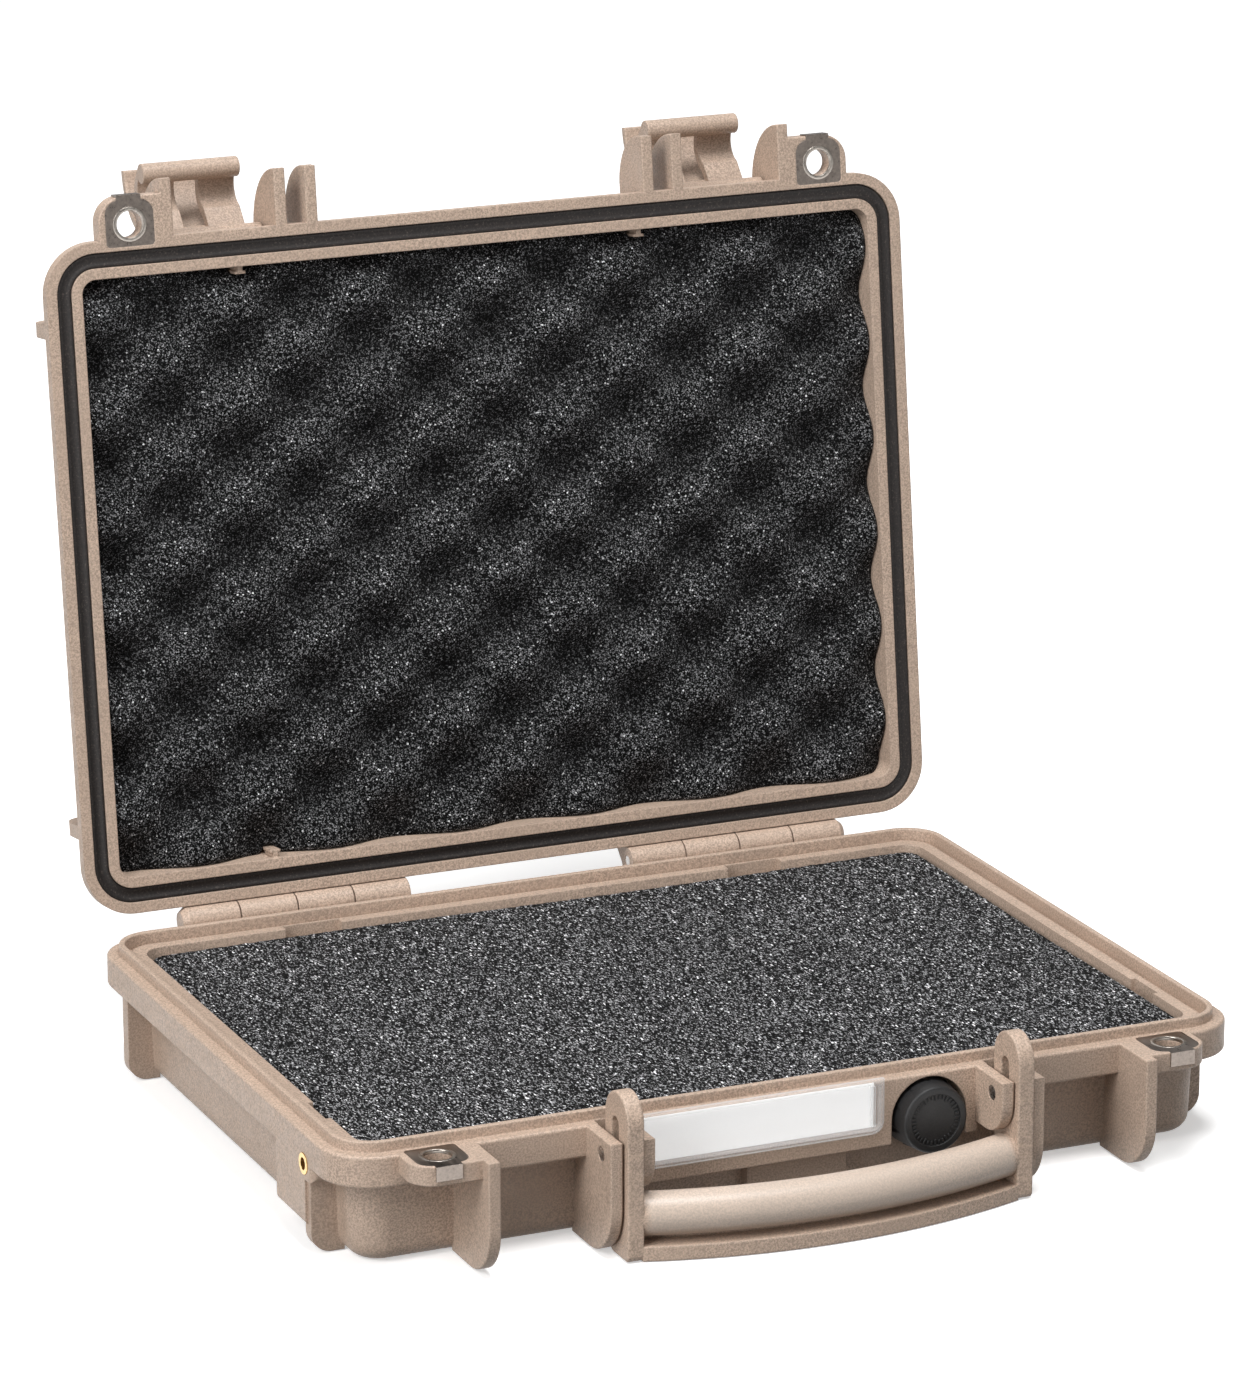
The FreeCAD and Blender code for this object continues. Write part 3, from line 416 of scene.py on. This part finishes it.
def foam_slab(name, half, corner, face, back, height, material, body, stands_for, fill, step=1.2,
              matrix=None, flip=False, rounding=1.6, draw=0.0, ribs=(), shading=0.0):
    """Foam block with a shaped face. height(x, y) is how far the face stands from z = face; the block
    reaches to z = back, drawing in by draw. A square grid is pulled into the rounded outline, the
    notches for the ribs are pressed into its edges, and walls close it."""
    nx, ny = round(2 * half[0] / step), round(2 * half[1] / step)
    u = np.linspace(-1, 1, nx + 1)
    v = np.linspace(-1, 1, ny + 1)
    gx, gy = np.meshgrid(u * half[0], v * half[1], indexing="ij")
    corner_x, corner_y = half[0] - corner, half[1] - corner
    over_x = np.maximum(np.abs(gx) - corner_x, 0) / corner
    over_y = np.maximum(np.abs(gy) - corner_y, 0) / corner
    both = (over_x > 0) & (over_y > 0)
    largest = np.maximum(over_x, over_y)
    length = np.hypot(over_x, over_y)
    scale = np.where(both, largest / np.maximum(length, 1e-9), 1.0)
    x = np.where(both, np.sign(gx) * (corner_x + over_x * corner * scale), gx)
    y = np.where(both, np.sign(gy) * (corner_y + over_y * corner * scale), gy)
    for rib_x, side in ribs:
        beside = np.clip((NOTCH_HALF_WIDTH - np.abs(x - rib_x)) / NOTCH_SLOPE, 0, 1)
        near = np.clip((side * y - half[1] + NOTCH_REACH) / NOTCH_REACH, 0, 1)
        y = y - side * beside * near * NOTCH_DEPTH
    rng = np.random.default_rng(7)
    z = face + height(x, y) + rng.normal(0.0, FOAM_ROUGHNESS, x.shape)
    inset = np.minimum(half[0] - np.abs(gx), half[1] - np.abs(gy))
    rise = np.sqrt(np.maximum(0.0, 1 - (1 - np.clip(inset / rounding, 0, 1)) ** 2))
    sign = 1.0 if back > face else -1.0
    z = z + sign * rounding * (1 - rise)
    verts = [(float(a), float(b), float(c)) for a, b, c in zip(x.ravel(), y.ravel(), z.ravel())]
    faces = []

    def index(i, j):
        return i * (ny + 1) + j

    for i in range(nx):
        for j in range(ny):
            faces.append((index(i, j), index(i + 1, j), index(i + 1, j + 1), index(i, j + 1)))
    rim = [index(i, 0) for i in range(nx)] + [index(nx, j) for j in range(ny)] \
        + [index(i, ny) for i in range(nx, 0, -1)] + [index(0, j) for j in range(ny, 0, -1)]
    previous = rim
    for level in range(1, WALL_LEVELS + 1):
        ring = []
        for r in rim:
            px, py, pz = verts[r]
            ring.append(len(verts))
            part = level / WALL_LEVELS
            drawn_x, drawn_y = 1 - draw * part / half[0], 1 - draw * part / half[1]
            verts.append((px * drawn_x, py * drawn_y, pz + (back - pz) * part))
        for k in range(len(rim)):
            n = (k + 1) % len(rim)
            faces.append((previous[k], ring[k], ring[n], previous[n]))
        previous = ring
    faces.append(tuple(previous[::-1]))
    if flip:
        faces = [tuple(reversed(f)) for f in faces]
    piece = new_piece(name, verts, faces, material, body, stands_for, matrix)
    # painted shade: depth is the shading share times how deep each point lies, and the full share on the
    # walls and back
    depth = piece.data.attributes.new("depth", "FLOAT", "POINT")
    deepest = max(float(np.max(height(x, y))), 1e-6)
    shares = np.zeros(len(verts))
    shares[:x.size] = np.clip(height(x, y).ravel() / deepest, 0, 1) * shading
    shares[x.size:] = shading
    depth.data.foreach_set("value", shares)
    piece.data.update()


# ---- foam ----------------------------------------------------------------------------------------
# half width and depth, corner radius, z of the cut face and of the back
LID_FOAM = ((149.6, 104.6), 5.0, LID_FACE + 0.9, LID_FACE + 29.5)
BASE_FOAM = ((149.0, 104.0), 7.4, 38.2, 12.4)
BASE_PAD = ((147.6, 102.6), 7.0, 12.2, 4.6)
PEAK_X, PEAK_Y = 4.6, -91.3          # one peak of the egg-crate
PITCH_X, PITCH_Y = 49.2, 34.9        # between peaks of the same row and column
CRATE_DEPTH = 7.6                    # from peak to valley


def lid_foam_height(x, y):
    """How deep the egg-crate's face lies behind its peaks."""
    wave = np.cos(2 * math.pi * (x - PEAK_X) / PITCH_X) * np.cos(2 * math.pi * (y - PEAK_Y) / PITCH_Y)
    return CRATE_DEPTH * (0.5 - 0.5 * wave) ** 1.1


def base_foam_height(x, y):
    """Barely uneven flat top."""
    return 0.35 * np.sin(x / 37.0 + 0.6) * np.cos(y / 29.0) - 0.25


def flat_height(x, y):
    """Flat top."""
    return 0 * x


def make_foam():
    """Egg-crate foam in the lid; flat block and, under it, thin pad in the base."""
    foam_slab("lid_foam_eggcrate", *LID_FOAM, lid_foam_height, "foam_lid", "lid", ["lid_foam"], 0.85,
              matrix=lid_matrix(), rounding=0.9, draw=2.4, ribs=FOAM_RIBS, shading=1.0)
    foam_slab("base_foam_block", *BASE_FOAM, base_foam_height, "foam_base", "base", ["base_foam"], 0.95,
              flip=True, rounding=1.2, draw=1.2)
    foam_slab("base_foam_bottom_pad", *BASE_PAD, flat_height, "foam_base", "base", ["base_foam_pad"], 0.95,
              step=6.0, flip=True, draw=3.0)


# ---- gasket --------------------------------------------------------------------------------------
def make_gasket():
    """Rubber strip with two low lips in the lid's groove; the base's tongue presses it as the lid shuts."""
    # outer side's inset from the rim, the strip's width, and its root and lips behind the lid's face
    outer, width, deep, top = 4.0, 5.1, 6.1, 0.45
    half = [(0.0, deep), (0.0, top + 0.35), (0.12, top + 0.1), (0.4, top), (1.15, top + 0.05),
            (1.4, top + 0.4)]
    profile = half + [(width - inset, depth) for inset, depth in reversed(half)]
    path = rounded_outline((HALF_WIDTH, HALF_DEPTH), RIM_RADIUS, 3.0)
    verts, faces = [], []
    count = len(path)
    for px, py in path:
        cx = max(-(HALF_WIDTH - RIM_RADIUS), min(HALF_WIDTH - RIM_RADIUS, px))
        cy = max(-(HALF_DEPTH - RIM_RADIUS), min(HALF_DEPTH - RIM_RADIUS, py))
        length = math.dist((px, py), (cx, cy))
        nx, ny = (px - cx) / length, (py - cy) / length
        for inset, depth in profile:
            verts.append((px - nx * (outer + inset), py - ny * (outer + inset), LID_FACE + depth))
    n = len(profile)
    for i in range(count):
        for k in range(n):
            a, b = i * n + k, i * n + (k + 1) % n
            c, d = ((i + 1) % count) * n + (k + 1) % n, ((i + 1) % count) * n + k
            faces.append((a, b, c, d))
    piece = new_piece("gasket_strip", verts, faces, "rubber", "lid", ["lid_gasket"],
                      lid_matrix())
    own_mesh(piece)


# ---- small trim ----------------------------------------------------------------------------------
def ring_piece(name, centre, radius, profile, material, body, matrix):
    """Closed ring: the profile's (outward, upward) points, in millimetres, turned about Z."""
    verts, faces = [], []
    n = len(profile)
    for i in range(RING_STEPS):
        angle = 2 * math.pi * i / RING_STEPS
        for out, up in profile:
            reach = radius + out
            verts.append((centre[0] + reach * math.cos(angle), centre[1] + reach * math.sin(angle),
                          centre[2] + up))
        for k in range(n):
            j = (i + 1) % RING_STEPS
            faces.append((i * n + k, j * n + k, j * n + (k + 1) % n, i * n + (k + 1) % n))
    piece = new_piece(name, verts, faces, material, body, (), matrix)
    fix_normals(piece)


def fix_normals(piece):
    """Turns every face of a closed piece outwards."""
    mesh = bmesh.new()
    mesh.from_mesh(piece.data)
    bmesh.ops.recalc_face_normals(mesh, faces=mesh.faces)
    mesh.to_mesh(piece.data)
    mesh.free()


def make_label_cover():
    """Clear cover over the label: raised, bevelled border, thin window and a ridge at its right end."""
    x0, x1, z0, z1, back, front = LABEL
    # lower right corner's radius, and the gap behind the lip that stands over the base's rim
    corner, rim_gap = 4.2, 0.05
    # inset from the outline, and y
    steps = [(0.0, back), (0.0, front + 0.7), (0.5, front + 0.25), (1.0, front), (1.5, front),
             (2.1, front + 1.3), (2.1, front + 1.6)]
    verts, faces = [], []

    def outline(inset):
        radius = max(corner - inset, 1.0)
        centre_x, centre_z = x1 - inset - radius, z0 + inset + radius
        ring = [(x0 + inset, z0 + inset)]
        for k in range(ARC_STEPS + 1):
            angle = math.radians(-90 + 90 * k / ARC_STEPS)
            ring.append((centre_x + radius * math.cos(angle), centre_z + radius * math.sin(angle)))
        return ring + [(x1 - inset, z1 - inset), (x0 + inset, z1 - inset)]

    count = len(outline(0.0))
    for inset, y in steps:
        for x, z in outline(inset):
            low = z <= BASE_FACE - 0.2
            verts.append((x, y if low else min(y, back - rim_gap), z))
    for i in range(len(steps) - 1):
        for k in range(count):
            n = (k + 1) % count
            faces.append((i * count + k, i * count + n, (i + 1) * count + n, (i + 1) * count + k))
    last = (len(steps) - 1) * count
    faces.append(tuple(last + k for k in range(count)))
    faces.append(tuple(k for k in reversed(range(count))))
    ridge = len(verts)
    ridge_left, ridge_right, ridge_end = 4.6, 2.9, 2.6     # from the cover's right, top and bottom edges
    draft = 0.3
    for x, slope in ((x1 - ridge_left, draft), (x1 - ridge_right, -draft)):
        for y, drawn in ((front + 2.0, 0.0), (front + 0.6, slope)):
            for z in (z0 + ridge_end, z1 - ridge_end):
                verts.append((x + drawn, y, z))
    faces += [tuple(ridge + k for k in face) for face in
              ((0, 1, 3, 2), (4, 6, 7, 5), (0, 4, 5, 1), (2, 3, 7, 6), (0, 2, 6, 4), (1, 5, 7, 3))]
    piece = new_piece("label_window", verts, faces, "clear", "base", ["label_cover"],
                      smooth=False)
    fix_normals(piece)


def make_lock_rims():
    """Polished steel edges round the padlock holes, low enough that the shut lid's clear the base's."""
    # outward from the hole's edge, and up from the plate
    section = [(-0.06, -1.0), (-0.06, 0.0), (0.12, 0.08), (1.1, 0.08), (1.3, -0.05), (1.3, -1.0)]
    for side, sign in (("left", -1), ("right", 1)):
        for body, face, way, matrix in (("base", BASE_FACE, 1, None), ("lid", LID_FACE, -1, lid_matrix())):
            profile = [(out, way * up) for out, up in section]
            ring_piece(f"lock_plate_rim_{body}_{side}", (sign * LOCK[0], LOCK[1], face), LOCK_HOLE_RADIUS,
                       profile, "rim", body, matrix)


def make_knob_marks():
    """Raised tick ring round the valve knob's face."""
    ticks, ring_radius, half_width, half_short, half_long = 36, 8.0, 0.28, 0.75, 1.2
    root, top = 0.75, 0.25               # behind the knob's face
    verts, faces = [], []
    x0, front, z0 = KNOB
    for i in range(ticks):
        angle = 2 * math.pi * i / ticks
        tall = half_short if i % 3 else half_long
        corners = []
        for radial, across in ((-1, -1), (1, -1), (1, 1), (-1, 1)):
            r, side = ring_radius + radial * tall, across * half_width
            corners.append((x0 + r * math.cos(angle) - side * math.sin(angle),
                            z0 + r * math.sin(angle) + side * math.cos(angle)))
        start = len(verts)
        for y in (front + root, front + top):
            verts += [(x, y, z) for x, z in corners]
        faces += [tuple(start + k for k in face) for face in
                  ((3, 2, 1, 0), (4, 5, 6, 7), (0, 1, 5, 4), (1, 2, 6, 5), (2, 3, 7, 6), (3, 0, 4, 7))]
    piece = new_piece("knob_tick_ring", verts, faces, "knob", "purge_knob", smooth=False)
    fix_normals(piece)


# ---- stage ---------------------------------------------------------------------------------------
FLOOR_SIZE, FLOOR_Z = 30.0, -0.0004       # just under the case
WORLD_BELOW, WORLD_ABOVE = 0.10, 0.25     # soft light from under and over the horizon
LENS, CAMERA = 157.64, (-0.8110, -1.8107, 0.7300)
CAMERA_DOWN, CAMERA_TURN = 16.521, 23.855     # degrees below the horizon, and to the right of +Y


def make_stage():
    """Pale floor, soft lights and the camera."""
    scene = bpy.context.scene
    bpy.ops.mesh.primitive_plane_add(size=FLOOR_SIZE, location=(0, 0, FLOOR_Z))
    floor = bpy.context.object
    floor.name = "floor"
    floor.visible_diffuse = False
    t = Tree("floor_paint")
    shade = t.ramp(t.noise(3.0, 2.0), [(0.3, (0.93, 0.93, 0.93)), (0.7, (0.95, 0.95, 0.95))])
    t.set(colour=shade, rough=0.9, specular=0.1)
    t.glow(PALE_GLOW)
    floor.data.materials.append(t.material)
    world = bpy.data.worlds.new("studio")
    scene.world = world
    world.use_nodes = True
    background = world.node_tree.nodes["Background"]
    nodes, links = world.node_tree.nodes, world.node_tree.links
    split = nodes.new("ShaderNodeSeparateXYZ")
    links.new(nodes.new("ShaderNodeTexCoord").outputs["Generated"], split.inputs["Vector"])
    sky = nodes.new("ShaderNodeValToRGB")
    stops = ((0.0, WORLD_BELOW), (0.12, WORLD_ABOVE))
    for element, (place, value) in zip(sky.color_ramp.elements, stops):
        element.position, element.color = place, (value, value, value, 1.0)
    links.new(split.outputs["Z"], sky.inputs["Fac"])
    links.new(sky.outputs["Color"], background.inputs["Color"])
    background.inputs["Strength"].default_value = 1.0
    # name, place, aim, size in metres and power in watts
    lights = [("key", (-1.8, -0.85, 1.6), (0.0, 0.0, 0.10), 1.2, 34.0),
              ("top", (0.0, -0.55, 2.3), (0.0, 0.0, 0.05), 0.9, 42.0),
              ("low", (-2.0, -1.1, 0.40), (0.0, 0.0, 0.05), 0.7, 12.0),
              ("fill", (1.2, -2.2, 0.9), (0.0, 0.0, 0.10), 1.6, 2.5),
              ("rear", (0.3, 1.9, 1.8), (0.0, 0.1, 0.15), 1.4, 12.0)]
    for name, place, aim, size, power in lights:
        data = bpy.data.lights.new(name, "AREA")
        data.shape, data.size, data.energy = "SQUARE", size, power
        light = bpy.data.objects.new(name, data)
        scene.collection.objects.link(light)
        light.location = place
        light.rotation_euler = (Vector(aim) - Vector(place)).to_track_quat("-Z", "Y").to_euler()
    data = bpy.data.cameras.new("camera")
    data.sensor_width, data.lens = 36.0, LENS
    data.clip_end = 50.0
    camera = bpy.data.objects.new("camera", data)
    scene.collection.objects.link(camera)
    camera.location = CAMERA
    camera.rotation_euler = (math.radians(90 - CAMERA_DOWN), 0.0, math.radians(-CAMERA_TURN))
    scene.camera = camera
    scene.view_settings.view_transform = "Standard"


dress_cad()
make_foam()
make_gasket()
make_label_cover()
make_lock_rims()
make_knob_marks()
make_stage()
